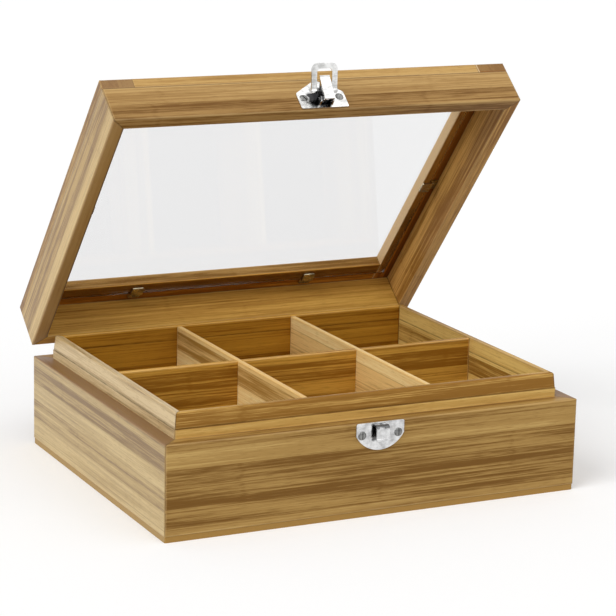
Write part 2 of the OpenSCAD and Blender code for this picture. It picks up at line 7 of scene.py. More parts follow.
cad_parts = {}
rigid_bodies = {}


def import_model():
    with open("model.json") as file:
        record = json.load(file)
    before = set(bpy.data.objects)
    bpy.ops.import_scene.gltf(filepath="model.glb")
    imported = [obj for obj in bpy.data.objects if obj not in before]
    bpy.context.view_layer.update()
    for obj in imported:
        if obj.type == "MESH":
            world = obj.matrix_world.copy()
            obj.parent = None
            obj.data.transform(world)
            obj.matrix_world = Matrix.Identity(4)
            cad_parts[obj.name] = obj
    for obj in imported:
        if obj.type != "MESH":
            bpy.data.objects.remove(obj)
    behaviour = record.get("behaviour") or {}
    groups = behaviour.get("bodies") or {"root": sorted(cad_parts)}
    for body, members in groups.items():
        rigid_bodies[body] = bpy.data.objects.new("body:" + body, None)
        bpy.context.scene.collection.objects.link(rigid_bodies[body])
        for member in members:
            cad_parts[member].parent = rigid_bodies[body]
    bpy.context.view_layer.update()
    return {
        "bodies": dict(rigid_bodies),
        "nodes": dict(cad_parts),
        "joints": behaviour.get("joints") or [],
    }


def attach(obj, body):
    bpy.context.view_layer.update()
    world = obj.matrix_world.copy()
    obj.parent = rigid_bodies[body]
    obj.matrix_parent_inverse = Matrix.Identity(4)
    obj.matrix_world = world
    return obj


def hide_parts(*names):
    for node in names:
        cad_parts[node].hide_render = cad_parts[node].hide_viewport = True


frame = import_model()
nodes = frame["nodes"]
joints = {joint["name"]: joint for joint in frame["joints"]}
print("frame loaded:", len(nodes), "nodes")

# The frame is in metres; grain, shade and screw places are worked out in millimetres
millimetre = 0.001


def shift(x, y, z):
    return Matrix.Translation((x, y, z))


def spin(angle, axis):
    return Matrix.Rotation(math.radians(angle), 4, axis)


def jointPlace(name):
    return Matrix.Translation(Vector(joints[name]["pos_m"]) / millimetre)


# Carries a place on the shut lid to where the open lid has it at rest.
# The hinge's lower limit is the shut lid.
def lidToRest():
    hinge = jointPlace("lid_hinge")
    return hinge @ spin(joints["lid_hinge"]["range_deg"][0], "X") @ hinge.inverted()


# Carries a place in the lever's own frame, which has its pivot at the origin and its length
# along Z when it is closed, to rest. The pivot's upper limit is the closed lever.
def leverToRest():
    turn = joints["lid_hinge"]["range_deg"][0] + joints["latch_lever_pivot"]["range_deg"][1]
    return jointPlace("latch_lever_pivot") @ spin(turn, "X")


# Lengths in metres, angles in degrees, lens and sensor in millimetres
cameraView = {
    "target": (-0.00298, -0.0144, 0.0895),
    "azimuth": 26.43,
    "elevation": 13.19,
    "roll": 1.36,
    "distance": 1.22899,
    "lens": 139.83,
    "sensor": 36,
    "shiftX": 0.00055,
    "shiftY": -0.00216,
    "nearest": 0.05,
    "farthest": 60,
}


def makeCamera(s):
    az, el, roll = (math.radians(s[k]) for k in ("azimuth", "elevation", "roll"))
    back = Vector((-math.sin(az) * math.cos(el), -math.cos(az) * math.cos(el), math.sin(el)))
    level = Vector((math.cos(az), -math.sin(az), 0))
    right = math.cos(roll) * level + math.sin(roll) * back.cross(level)
    up = back.cross(right)
    data = bpy.data.cameras.new("camera")
    data.lens, data.sensor_width = s["lens"], s["sensor"]
    data.shift_x, data.shift_y = s["shiftX"], s["shiftY"]
    data.clip_start, data.clip_end = s["nearest"], s["farthest"]
    camera = bpy.data.objects.new("camera", data)
    place = Matrix((right, up, back)).transposed().to_4x4()
    place.translation = Vector(s["target"]) + s["distance"] * back
    camera.matrix_world = place
    bpy.context.scene.collection.objects.link(camera)
    bpy.context.scene.camera = camera


makeCamera(cameraView)
print("camera placed")


# A socket is given by its name, with _ for a space, or by its number as i0, i1 and so on
def addNode(tree, kind, settings=None, **sockets):
    node = tree.nodes.new(kind)
    for key, value in (settings or {}).items():
        setattr(node, key, value)
    for key, value in sockets.items():
        name = int(key[1:]) if key[0] == "i" and key[1:].isdigit() else key.replace("_", " ")
        feed(tree, value, node.inputs[name])
    return node


def feed(tree, value, socket):
    if isinstance(value, bpy.types.NodeSocket):
        tree.links.new(value, socket)
    else:
        socket.default_value = value


def calc(tree, operation, *values, clamp=False):
    node = addNode(tree, "ShaderNodeMath", {"operation": operation, "use_clamp": clamp})
    for k, value in enumerate(values):
        feed(tree, value, node.inputs[k])
    return node.outputs[0]


def smooth(tree, value, low, high, toLow=0.0, toHigh=1.0):
    node = addNode(tree, "ShaderNodeMapRange", {"interpolation_type": "SMOOTHSTEP"}, Value=value,
                   From_Min=low, From_Max=high, To_Min=toLow, To_Max=toHigh)
    return node.outputs[0]


# Whole up to the band's first distance, gone past its second
def fade(tree, distance, band):
    return smooth(tree, distance, *band, 1.0, 0.0)


def blendColour(tree, factor, a, b, mode="MIX"):
    node = addNode(tree, "ShaderNodeMix", {"data_type": "RGBA", "blend_type": mode},
                   i0=factor, i6=a, i7=b)
    return node.outputs[2]


def stretch(tree, vector, scale, push=(0, 0, 0)):
    node = addNode(tree, "ShaderNodeVectorMath", {"operation": "MULTIPLY_ADD"},
                   i0=vector, i1=scale, i2=push)
    return node.outputs[0]


def separate(tree, vector):
    return addNode(tree, "ShaderNodeSeparateXYZ", None, Vector=vector).outputs


def combine(tree, x, y, z):
    return addNode(tree, "ShaderNodeCombineXYZ", None, X=x, Y=y, Z=z).outputs[0]


def noise(tree, vector, scale=1.0, detail=2.0, roughness=0.5, distortion=0.0):
    node = addNode(tree, "ShaderNodeTexNoise", None, Vector=vector, Scale=scale, Detail=detail,
                   Roughness=roughness, Distortion=distortion)
    return node.outputs["Fac"]


def chanceOf(tree, key):
    node = addNode(tree, "ShaderNodeTexWhiteNoise", {"noise_dimensions": "1D"}, W=key)
    return node.outputs["Value"]


def openGroup(name, kind, inputs, outputs):
    tree = bpy.data.node_groups.new(name, kind)
    for label, sort, *value in inputs:
        socket = tree.interface.new_socket(label, in_out="INPUT", socket_type="NodeSocket" + sort)
        if value:
            socket.default_value = value[0]
    for label, sort in outputs:
        tree.interface.new_socket(label, in_out="OUTPUT", socket_type="NodeSocket" + sort)
    given = tree.nodes.new("NodeGroupInput").outputs
    return tree, given, tree.nodes.new("NodeGroupOutput").inputs


def srgb(red, green, blue):
    def linear(v):
        v /= 255
        return v / 12.92 if v <= 0.04045 else ((v + 0.055) / 1.055) ** 2.4
    return (linear(red), linear(green), linear(blue), 1.0)


# Bamboo: strips glued side by side, streaked along the grain, crossed by faint knuckles.
# The group works in board space in millimetres: X along the grain, Z across the strips.
bambooGrain = {
    "seedSteps": (37.7, 5.3, 11.9),    # a board's seed moves its pattern by these
    "stripKeys": (1.37, 7.13, 91.7),   # strip and seed make a strip's key, the last a second key
    "stripShift": (400.0, 0.0, 60.0),  # how far chance moves the pattern of one strip
    "stripShare": 0.62,                # how much whole strips differ in tone
    "layers": {
        "drift": {"stretch": (0.009, 0.12, 0.22), "share": 0.9,
                  "noise": {"detail": 3.0, "roughness": 0.55}},
        "streak": {"stretch": (0.011, 0.6, 0.95), "share": 1.1,
                   "noise": {"detail": 4.0, "roughness": 0.62, "distortion": 0.15}},
        "fibre": {"stretch": (0.09, 2.6, 4.2), "share": 0.55,
                  "noise": {"detail": 2.0, "roughness": 0.6}},
    },
    "knuckle": {"apart": 150.0, "stripShift": 170.0, "stretch": (0.05, 0.3, 0.5), "wander": 9.0,
                "band": (0.2, 2.2), "share": 0.05},
    "glue": {"band": (0.05, 0.4), "least": 0.15, "more": 0.5, "depth": 0.6},
    "dashes": {"stretch": (0.16, 3.0, 3.3), "noise": {"detail": 1.0}, "from": 0.6, "to": 0.72,
               "strength": 0.35, "depth": 0.5},
    "fibreHeight": 0.5,
    "roughness": (0.2, 0.8, 0.38, 0.56),  # streak from and to, roughness from and to
}


def makeBambooGroup(s):
    tree, given, put = openGroup(
        "bambooGrain", "ShaderNodeTree",
        [("Vector", "Vector"), ("Strip Width", "Float", 10.0), ("Glue Line At", "Float", 0.0),
         ("Seed", "Float", 0.0), ("Light", "Color", (0.5, 0.3, 0.12, 1)),
         ("Middle", "Color", (0.4, 0.2, 0.08, 1)), ("Dark", "Color", (0.2, 0.1, 0.03, 1)),
         ("Contrast", "Float", 1.0)],
        [("Color", "Color"), ("Roughness", "Float"), ("Height", "Float")])
    seed = given["Seed"]
    push = combine(tree, *(calc(tree, "MULTIPLY", seed, step) for step in s["seedSteps"]))
    at = separate(tree, given["Vector"])

    # which strip a point lies in, and how far it is from the nearest glue line
    across = calc(tree, "SUBTRACT", at["Z"], given["Glue Line At"])
    across = calc(tree, "DIVIDE", across, given["Strip Width"])
    within = calc(tree, "FRACT", across)
    nearest = calc(tree, "MINIMUM", within, calc(tree, "SUBTRACT", 1.0, within))
    edge = calc(tree, "MULTIPLY", nearest, given["Strip Width"])

    # two chances for each strip; they move its pattern, so that no strip runs on into the next
    stripKey, seedKey, secondKey = s["stripKeys"]
    key = calc(tree, "ADD", calc(tree, "MULTIPLY", calc(tree, "FLOOR", across), stripKey),
               calc(tree, "MULTIPLY", seed, seedKey))
    chance = chanceOf(tree, key)
    otherChance = chanceOf(tree, calc(tree, "ADD", key, secondKey))
    shiftX, shiftY, shiftZ = s["stripShift"]
    moved = combine(tree, calc(tree, "MULTIPLY", chance, shiftX), shiftY,
                    calc(tree, "MULTIPLY", otherChance, shiftZ))
    local = stretch(tree, given["Vector"], (1, 1, 1), moved)
    grain = {name: noise(tree, stretch(tree, local, layer["stretch"], push), **layer["noise"])
             for name, layer in s["layers"].items()}

    # knuckles lie a hand apart along each strip
    k = s["knuckle"]
    wave = calc(tree, "MULTIPLY", noise(tree, stretch(tree, local, k["stretch"])), k["wander"])
    along = calc(tree, "ADD", calc(tree, "ADD", at["X"], wave),
                 calc(tree, "MULTIPLY", otherChance, k["stripShift"]))
    near = calc(tree, "SUBTRACT", calc(tree, "PINGPONG", along, k["apart"]), k["apart"] / 2)
    knuckle = fade(tree, calc(tree, "ABSOLUTE", near), k["band"])

    tone = calc(tree, "MULTIPLY", calc(tree, "SUBTRACT", chance, 0.5), s["stripShare"])
    for name, layer in s["layers"].items():
        uneven = calc(tree, "SUBTRACT", grain[name], 0.5)
        tone = calc(tree, "MULTIPLY_ADD", uneven, layer["share"], tone)
    tone = calc(tree, "SUBTRACT", tone, calc(tree, "MULTIPLY", knuckle, k["share"]))
    tone = calc(tree, "MULTIPLY_ADD", tone, given["Contrast"], 0.5, clamp=True)
    low = blendColour(tree, smooth(tree, tone, 0.0, 0.5), given["Dark"], given["Middle"])
    colour = blendColour(tree, smooth(tree, tone, 0.5, 1.0), low, given["Light"])

    # dark glue lines of uneven strength, and short dark dashes
    g, d = s["glue"], s["dashes"]
    glue = calc(tree, "MULTIPLY", fade(tree, edge, g["band"]),
                calc(tree, "MULTIPLY_ADD", otherChance, g["more"], g["least"]))
    dash = noise(tree, stretch(tree, local, d["stretch"], push), **d["noise"])
    dashes = calc(tree, "MULTIPLY", smooth(tree, dash, d["from"], d["to"]), d["strength"])
    colour = blendColour(tree, glue, colour, given["Dark"])
    feed(tree, blendColour(tree, dashes, colour, given["Dark"]), put["Color"])
    feed(tree, smooth(tree, grain["streak"], *s["roughness"]), put["Roughness"])
    height = calc(tree, "SUBTRACT", calc(tree, "MULTIPLY", grain["fibre"], s["fibreHeight"]),
                  calc(tree, "MULTIPLY", glue, g["depth"]))
    height = calc(tree, "SUBTRACT", height, calc(tree, "MULTIPLY", dashes, d["depth"]))
    feed(tree, height, put["Height"])
    return tree


# Plated metal: smudges, and fine scratches drawn out along the frame's X and Y
platedWear = {
    "smudge": {"scale": 260.0, "detail": 4.0, "roughness": 0.6},
    "scratchStretch": (300.0, 300.0, 4200.0),
    "scratch": {"detail": 3.0, "roughness": 0.7},
    "shares": (0.7, 0.3),
    "from": 0.35,
    "to": 0.7,
}


def makeWearGroup(s):
    tree, given, put = openGroup(
        "platedWear", "ShaderNodeTree",
        [("Vector", "Vector"), ("Clean", "Color", (0.8, 0.8, 0.8, 1)),
         ("Dull", "Color", (0.6, 0.6, 0.6, 1)), ("Smooth", "Float", 0.15),
         ("Rough", "Float", 0.35)],
        [("Color", "Color"), ("Roughness", "Float"), ("Height", "Float")])
    smudge = noise(tree, given["Vector"], **s["smudge"])
    scratch = noise(tree, stretch(tree, given["Vector"], s["scratchStretch"]), **s["scratch"])
    smudgeShare, scratchShare = s["shares"]
    both = calc(tree, "MULTIPLY_ADD", scratch, scratchShare,
                calc(tree, "MULTIPLY", smudge, smudgeShare))
    amount = smooth(tree, both, s["from"], s["to"])
    feed(tree, blendColour(tree, amount, given["Clean"], given["Dull"]), put["Color"])
    span = calc(tree, "SUBTRACT", given["Rough"], given["Smooth"])
    feed(tree, calc(tree, "MULTIPLY_ADD", span, amount, given["Smooth"]), put["Roughness"])
    feed(tree, scratch, put["Height"])
    return tree


# Edges of a board: a lighter arris, both wear and a painted highlight where the rounded edge
# catches light, masks of single faces, and dark lines at joints.
# Low and High are the board's box in board space. Bands are distances in millimetres.
boardEdges = {
    "patchStretch": (0.12, 0.5, 0.5),
    "patch": {"detail": 3.0, "roughness": 0.6},
    "wornLitStart": 0.1,
    "wornLitReach": (0.3, 1.6),               # least, and how much a patch adds
    "brokenLine": (0.3, 0.6, 0.55, 1.0),   # patch from and to, strength from and to
    "faceBand": (0.1, 0.9),
    "innerBand": (0.3, 1.4),
    "endGrainBand": (0.02, 0.3),
    "lineBand": (0.1, 0.6),
    "mitreBand": (0.08, 0.3),
    "endBand": (0.1, 0.45),
}


def makeEdgeGroup(s):
    masks = ("Wear And Highlight", "Joint", "Top", "Bottom", "Inner", "End Grain", "Y Low", "Y High")
    tree, given, put = openGroup(
        "boardEdges", "ShaderNodeTree",
        [("Vector", "Vector"), ("Low", "Vector"), ("High", "Vector"), ("Line At", "Float", 0.0),
         ("Line Strength", "Float", 0.0), ("Mitre Strength", "Float", 0.0),
         ("End Strength", "Float", 0.0)],
        [(mask, "Float") for mask in masks])
    at, low, high = (separate(tree, given[key]) for key in ("Vector", "Low", "High"))
    fromLow = [calc(tree, "SUBTRACT", at[k], low[k]) for k in range(3)]
    fromHigh = [calc(tree, "SUBTRACT", high[k], at[k]) for k in range(3)]
    near = [calc(tree, "MINIMUM", fromLow[k], fromHigh[k]) for k in range(3)]

    # an arris is where the second nearest pair of faces is near too
    small = calc(tree, "MINIMUM", near[0], near[1])
    large = calc(tree, "MAXIMUM", near[0], near[1])
    second = calc(tree, "MAXIMUM", small, calc(tree, "MINIMUM", large, near[2]))
    patch = noise(tree, stretch(tree, given["Vector"], s["patchStretch"]), **s["patch"])
    least, more = s["wornLitReach"]
    reach = calc(tree, "MULTIPLY_ADD", patch, more, least)
    feed(tree, fade(tree, second, (s["wornLitStart"], reach)), put["Wear And Highlight"])

    bottom = fade(tree, fromLow[2], s["faceBand"])
    feed(tree, bottom, put["Bottom"])
    feed(tree, fade(tree, fromHigh[2], s["faceBand"]), put["Top"])
    feed(tree, fade(tree, fromLow[1], s["faceBand"]), put["Y Low"])
    feed(tree, fade(tree, fromHigh[1], s["faceBand"]), put["Y High"])
    feed(tree, fade(tree, near[0], s["endGrainBand"]), put["End Grain"])

    # the faces towards and away from the middle of the box
    aside, asideLow, asideHigh = (calc(tree, "ABSOLUTE", part[1]) for part in (at, low, high))
    fromInner = calc(tree, "SUBTRACT", aside, calc(tree, "MINIMUM", asideLow, asideHigh))
    fromOuter = calc(tree, "SUBTRACT", calc(tree, "MAXIMUM", asideLow, asideHigh), aside)
    # the inner face's lower edge, where a painted shadow line can go
    inner = calc(tree, "MULTIPLY", fade(tree, fromInner, s["innerBand"]), bottom)
    feed(tree, inner, put["Inner"])

    # a mitre runs where the ways in from the end and from the outer face agree
    lineAway = calc(tree, "ABSOLUTE", calc(tree, "SUBTRACT", at[2], given["Line At"]))
    line = calc(tree, "MULTIPLY", fade(tree, lineAway, s["lineBand"]), given["Line Strength"])
    fromEnd = calc(tree, "SUBTRACT", high[0], calc(tree, "ABSOLUTE", at[0]))
    mitreAway = calc(tree, "ABSOLUTE", calc(tree, "SUBTRACT", fromEnd, fromOuter))
    mitre = calc(tree, "MULTIPLY", fade(tree, mitreAway, s["mitreBand"]), given["Mitre Strength"])
    ends = calc(tree, "MULTIPLY", fade(tree, near[0], s["endBand"]), given["End Strength"])
    joint = calc(tree, "MAXIMUM", calc(tree, "MAXIMUM", line, mitre), ends)
    broken = smooth(tree, patch, *s["brokenLine"])
    feed(tree, calc(tree, "MULTIPLY", joint, broken, clamp=True), put["Joint"])
    return tree


# Painted shade inside a box, with an uneven edge
softBox = {"waveScale": 0.7, "wave": 2.0}


def makeSoftBoxGroup(s):
    tree, given, put = openGroup(
        "softBox", "ShaderNodeTree",
        [("Vector", "Vector"), ("Low", "Vector"), ("High", "Vector"), ("Soft", "Float", 1.0)],
        [("Mask", "Float")])
    at, low, high = (separate(tree, given[key]) for key in ("Vector", "Low", "High"))
    wave = calc(tree, "SUBTRACT", noise(tree, given["Vector"], s["waveScale"]), 0.5)
    wave = calc(tree, "MULTIPLY", wave, s["wave"])
    mask = 1.0
    for k in range(3):
        depth = calc(tree, "MINIMUM", calc(tree, "SUBTRACT", at[k], low[k]),
                     calc(tree, "SUBTRACT", high[k], at[k]))
        part = calc(tree, "DIVIDE", calc(tree, "ADD", depth, wave), given["Soft"], clamp=True)
        mask = calc(tree, "MULTIPLY", mask, part)
    feed(tree, mask, put["Mask"])
    return tree


bambooGroup = makeBambooGroup(bambooGrain)
wearGroup = makeWearGroup(platedWear)
edgeGroup = makeEdgeGroup(boardEdges)
softBoxGroup = makeSoftBoxGroup(softBox)
print("node groups built")


def openMaterial(name):
    material = bpy.data.materials.new(name)
    material.use_nodes = True
    tree = material.node_tree
    return material, tree, tree.nodes["Principled BSDF"]


def placeGroup(tree, group, vector, values):
    node = tree.nodes.new("ShaderNodeGroup")
    node.node_tree = group
    feed(tree, vector, node.inputs["Vector"])
    for key, value in values.items():
        feed(tree, value, node.inputs[key])
    return node.outputs


def objectPlace(tree):
    return addNode(tree, "ShaderNodeTexCoord").outputs["Object"]


# Object coordinates in millimetres, turned into another frame
def turnedPlace(tree, turn):
    node = addNode(tree, "ShaderNodeMapping", None, Vector=objectPlace(tree),
                   Location=turn.to_translation(), Rotation=turn.to_euler("XYZ"),
                   Scale=(1 / millimetre,) * 3)
    return node.outputs[0]


def addBump(tree, shader, height, strength, distance):
    bump = addNode(tree, "ShaderNodeBump", None, Strength=strength, Distance=distance,
                   Height=height)
    feed(tree, bump.outputs[0], shader.inputs["Normal"])


def dress(node, material):
    mesh = nodes[node].data
    mesh.materials.clear()
    mesh.materials.append(material)


# Rows that turn the frame's axes into a board's own: along the grain first, across strips last
boardAxes = {
    "xUp": ((1, 0, 0), (0, 1, 0), (0, 0, 1)),
    "yUp": ((0, 1, 0), (-1, 0, 0), (0, 0, 1)),
    "xFlat": ((1, 0, 0), (0, 0, -1), (0, 1, 0)),
    "yFlat": ((0, 1, 0), (0, 0, 1), (1, 0, 0)),
}

# Axes, middle tone, strip width, a glue line's place, contrast, coat and wear of each board, where
# wear is how strongly its arrises are lightened, as wear and as painted highlight.
# A board's place in this list is the seed of its grain.
# Middle tones differ from board to board as real strips do, and also carry painted light and shade:
# the left-hand boards are painted paler as sheen, the cross dividers and the lid's right rail paler
# as painted light, and the back liner, the lid's back rail and the bottom board deeper as painted
# shade.
boards = {
    "front_wall": ("xUp", (171, 135, 75), 9.5, 7.0, 1.35, 0.05, 0.4),
    "right_wall": ("yUp", (162, 124, 68), 9.5, 5.0, 1.7, 0.2, 0.4),
    "back_wall": ("xUp", (160, 122, 64), 9.5, 9.0, 1.7, 0.05, 0.4),
    "left_wall": ("yUp", (176, 148, 95), 9.5, 6.0, 1.45, 0.4, 0.4),
    "liner_front": ("xUp", (206, 164, 89), 9.5, 52.9, 1.3, 0.05, 0.6),
    "liner_right": ("yUp", (200, 161, 86), 9.5, 51.0, 1.4, 0.1, 0.6),
    "liner_back": ("xUp", (184, 129, 38), 9.5, 50.0, 0.9, 0.0, 0.6),
    "liner_left": ("yUp", (186, 158, 110), 9.5, 54.0, 2.2, 0.4, 0.6),
    "bottom_board": ("xFlat", (128, 90, 42), 12.0, 0.0, 1.2, 0.0, 0.0),
    "long_divider": ("xUp", (206, 155, 64), 10.0, 46.0, 1.3, 0.0, 0.85),
    "cross_divider_left": ("yUp", (232, 194, 126), 10.0, 48.0, 0.95, 0.05, 0.85),
    "cross_divider_right": ("yUp", (232, 194, 126), 10.0, 44.0, 0.95, 0.05, 0.85),
    "lid_rail_front": ("xUp", (164, 127, 74), 9.5, 58.0, 1.7, 0.05, 0.45),
    "lid_rail_right": ("yUp", (200, 154, 84), 9.5, 56.0, 1.2, 0.1, 0.45),
    "lid_rail_back": ("xUp", (177, 130, 56), 9.5, 60.0, 1.7, 0.0, 0.45),
    "lid_rail_left": ("yUp", (178, 145, 87), 9.5, 57.0, 1.75, 0.4, 0.45),
    "top_frame_front": ("xFlat", (172, 132, 74), 9.5, -80.0, 1.7, 0.05, 0.45),
    "top_frame_back": ("xFlat", (172, 132, 74), 9.5, 80.0, 1.7, 0.0, 0.45),
    "top_frame_left": ("yFlat", (176, 139, 80), 9.5, -105.0, 1.8, 0.3, 0.45),
    "top_frame_right": ("yFlat", (174, 136, 78), 9.5, 104.0, 1.8, 0.1, 0.45),
}

# Faces whose tone isn't that of the rest of their board: face, tone, share, way of blending.
# Several are painted light and shade, as noted at each.
faceTones = {
    # the bottom board's edge faces keep the wood's own tone, since its middle tone is painted shade
    # for the floor of the compartments
    "bottom_board": [("Bottom", srgb(172, 134, 72), 0.9), ("Top", srgb(172, 134, 72), 0.9),
                     ("End Grain", srgb(176, 146, 96), 0.9)],
    # the left wall's sides are painted pale as sheen, so its top face is painted back to a darker
    # brown
    "left_wall": [("Top", srgb(116, 76, 30), 0.85)],
    "right_wall": [("Top", srgb(140, 104, 60), 0.5)],
    # the lid's left rail: a painted shadow line along the lower edge of its inner face
    "lid_rail_left": [("Bottom", srgb(146, 106, 54), 0.75), ("Inner", srgb(70, 44, 18), 0.8)],
    "top_frame_left": [("End Grain", srgb(138, 100, 54), 0.8)],
    # the right top frame: its underside painted darker as shade, and its edge face round the
    # opening painted lighter as lit
    "top_frame_right": [("End Grain", srgb(138, 100, 54), 0.8),
                        ("Y Low", (0.85, 0.56, 0.2, 1), 1.0, "MULTIPLY"),
                        ("Bottom", srgb(232, 200, 152), 0.85)],
    # the back top frame: its underside painted deeper and more saturated as shade
    "top_frame_back": [("Y High", (1.4, 1.08, 0.43, 1), 1.0, "MULTIPLY")],
}

# Light and dark bamboo lie round a board's middle tone; arrises have lighter tones of their own, as
# wear and as painted highlight
toneSpread = {"light": (1.55, 1.62, 1.8), "dark": (0.45, 0.345, 0.18), "joint": 0.35}
wornAndLitEdgeTones = {"outside": srgb(200, 168, 116), "inside": srgb(222, 178, 108)}

# Dark lines where boards meet: the lip's step, and the seam between rails and top frame
boardJoints = {
    "lipStep": {"Line At": 53.2, "Line Strength": 0.6},
    "frameSeam": {"Line At": 69.1, "Line Strength": 0.8},
    "mitre": {"Mitre Strength": 0.7},
    "butt": {"End Strength": 0.85},
}
boardFinish = {
    "shine": 0.1,
    "coatShine": 0.5,
    "coatRoughness": 0.3,
    "jointDepth": 1.5,
    "bump": 0.3,
    "relief": 0.0003,
}


def tonesOf(middle):
    base = srgb(*middle)
    light = [1 - (1 - c) ** power for c, power in zip(base, toneSpread["light"])]
    dark = [c * gain for c, gain in zip(base, toneSpread["dark"])]
    return {"Middle": base, "Light": (*light, 1.0), "Dark": (*dark, 1.0)}


def jointsOf(name):
    made = {}
    if "wall" in name or "liner" in name or "rail" in name:
        made.update(boardJoints["mitre"])
    if "liner" in name:
        made.update(boardJoints["lipStep"])
    if "rail" in name:
        made.update(boardJoints["frameSeam"])
    if "divider" in name or name in ("top_frame_front", "top_frame_back"):
        made.update(boardJoints["butt"])
    return made


def boardMaterial(name, seed, axes, middle, stripWidth, glueAt, contrast, coat, wear):
    material, tree, shader = openMaterial("bamboo_" + name)
    turn = Matrix(boardAxes[axes]).to_4x4()
    if nodes[name].parent == frame["bodies"]["lid"]:
        turn = turn @ lidToRest().inverted()
    place = turnedPlace(tree, turn)
    tones = tonesOf(middle)
    grain = placeGroup(tree, bambooGroup, place,
                       {"Strip Width": stripWidth, "Glue Line At": glueAt, "Seed": seed,
                        "Contrast": contrast, **tones})
    # the board's own box, so that its edges and joints can be found
    corners = [turn @ (v.co / millimetre) for v in nodes[name].data.vertices]
    low, high = ([end(c[k] for c in corners) for k in range(3)] for end in (min, max))
    edges = placeGroup(tree, edgeGroup, place, {"Low": low, "High": high, **jointsOf(name)})

    # arrises lightened, as wear and as a painted highlight
    wornAndLitEdge = wornAndLitEdgeTones["inside" if "divider" in name or name == "liner_back" else "outside"]
    colour = blendColour(tree, calc(tree, "MULTIPLY", edges["Wear And Highlight"], wear), grain["Color"], wornAndLitEdge)
    for face, faceTone, share, *mode in faceTones.get(name, []):
        amount = calc(tree, "MULTIPLY", edges[face], share)
        colour = blendColour(tree, amount, colour, faceTone, *mode)
    jointTone = (*(toneSpread["joint"] * c for c in tones["Dark"][:3]), 1.0)
    feed(tree, blendColour(tree, edges["Joint"], colour, jointTone), shader.inputs["Base Color"])
    feed(tree, grain["Roughness"], shader.inputs["Roughness"])
    s = boardFinish
    shader.inputs["Specular IOR Level"].default_value = s["shine"] + s["coatShine"] * coat
    shader.inputs["Coat Weight"].default_value = coat
    shader.inputs["Coat Roughness"].default_value = s["coatRoughness"]
    sunk = calc(tree, "MULTIPLY", edges["Joint"], s["jointDepth"])
    addBump(tree, shader, calc(tree, "SUBTRACT", grain["Height"], sunk), s["bump"], s["relief"])
    return material


for seed, (boardName, values) in enumerate(boards.items(), 1):
    dress(boardName, boardMaterial(boardName, seed, *values))
print("bamboo boards dressed")


# the colour of the painted shade in the latch's hollows
paintedShadeBlack = (0.02, 0.02, 0.022, 1)
metalRelief = 0.00005
metalLooks = {
    "brightNickel": {"clean": (0.86, 0.86, 0.85, 1), "dull": (0.46, 0.46, 0.45, 1),
                     "smooth": 0.1, "rough": 0.3, "bump": 0.25},
    # the same nickel as the bright one, made darker: painted shade on the forward-facing strike
    # plate
    "strikeNickelShaded": {"clean": (0.8, 0.8, 0.8, 1), "dull": (0.4, 0.4, 0.4, 1),
                     "smooth": 0.1, "rough": 0.32, "bump": 0.25},
    "screwNickel": {"clean": (0.3, 0.3, 0.29, 1), "dull": (0.06, 0.06, 0.06, 1),
                    "smooth": 0.16, "rough": 0.36, "bump": 0.4},
    "darkBronze": {"clean": srgb(188, 176, 146), "dull": srgb(104, 90, 68),
                   "smooth": 0.2, "rough": 0.42, "bump": 0.4},
}

# Painted shade in the latch's hollows and under the strike's hook, and a painted dark reflection on
# the bend of the hook, as boxes in a piece's own frame: lowest and highest corners.
# The plate's frame is the shut lid's, the lever's is its own, the strike plate's is the box's.
plateShade = {"turn": lidToRest().inverted(), "soft": 1.6, "strength": 0.97,
              "boxes": [((-8.5, -100, 50.6), (5.4, -88, 60.5)),
                        ((-5.5, -100, 50.4), (4.4, -88, 63.5))]}
leverShade = {"turn": leverToRest().inverted(), "soft": 0.8, "strength": 0.95,
              "boxes": [((-4, -3.0, -5), (4, 6, 12))]}
strikeShade = {"turn": Matrix.Identity(4), "soft": 0.9, "strength": 0.85,
               "boxes": [((-5.2, -93.5, 38.8), (3.4, -90.0, 47.6)),
                         ((-4.6, -96.5, 45.6), (4.6, -92.2, 48.2))]}


def metalMaterial(name, look, shade=None):
    material, tree, shader = openMaterial(name)
    wear = placeGroup(tree, wearGroup, objectPlace(tree),
                      {"Clean": look["clean"], "Dull": look["dull"],
                       "Smooth": look["smooth"], "Rough": look["rough"]})
    colour = wear["Color"]
    if shade:
        # painted shade: each box darkens the metal towards black
        place = turnedPlace(tree, shade["turn"])
        for low, high in shade["boxes"]:
            box = placeGroup(tree, softBoxGroup, place,
                             {"Low": low, "High": high, "Soft": shade["soft"]})
            amount = calc(tree, "MULTIPLY", box["Mask"], shade["strength"])
            colour = blendColour(tree, amount, colour, paintedShadeBlack)
    feed(tree, colour, shader.inputs["Base Color"])
    feed(tree, wear["Roughness"], shader.inputs["Roughness"])
    shader.inputs["Metallic"].default_value = 1.0
    addBump(tree, shader, wear["Height"], look["bump"], metalRelief)
    return material


nickel = metalMaterial("brightNickel", metalLooks["brightNickel"])
screwNickel = metalMaterial("screwNickel", metalLooks["screwNickel"])
bronze = metalMaterial("darkBronze", metalLooks["darkBronze"])
nickelNodes = ["hinge_leaf_base_left", "hinge_leaf_base_right", "hinge_pin_left", "hinge_pin_right",
               "hinge_leaf_lid_left", "hinge_leaf_lid_right", "latch_pin", "bail_pin", "latch_bail"]
for nodeName in nickelNodes:
    dress(nodeName, nickel)
for nodeName in nodes:
    if nodeName.startswith("pane_clip"):
        dress(nodeName, bronze)
dress("latch_plate", metalMaterial("latchPlateNickel", metalLooks["brightNickel"], plateShade))
dress("latch_lever", metalMaterial("latchLeverNickel", metalLooks["brightNickel"], leverShade))
dress("strike_plate", metalMaterial("strikeNickelShaded", metalLooks["strikeNickelShaded"], strikeShade))

# Rounded edges catch the light on the pressed metal
pressedEdge = {
    "nodes": ("latch_plate", "latch_lever", "latch_bail", "strike_plate"),
    "weld": 0.00001,
    "width": 0.00014,
    "segments": 2,
    "angle": 38,
}


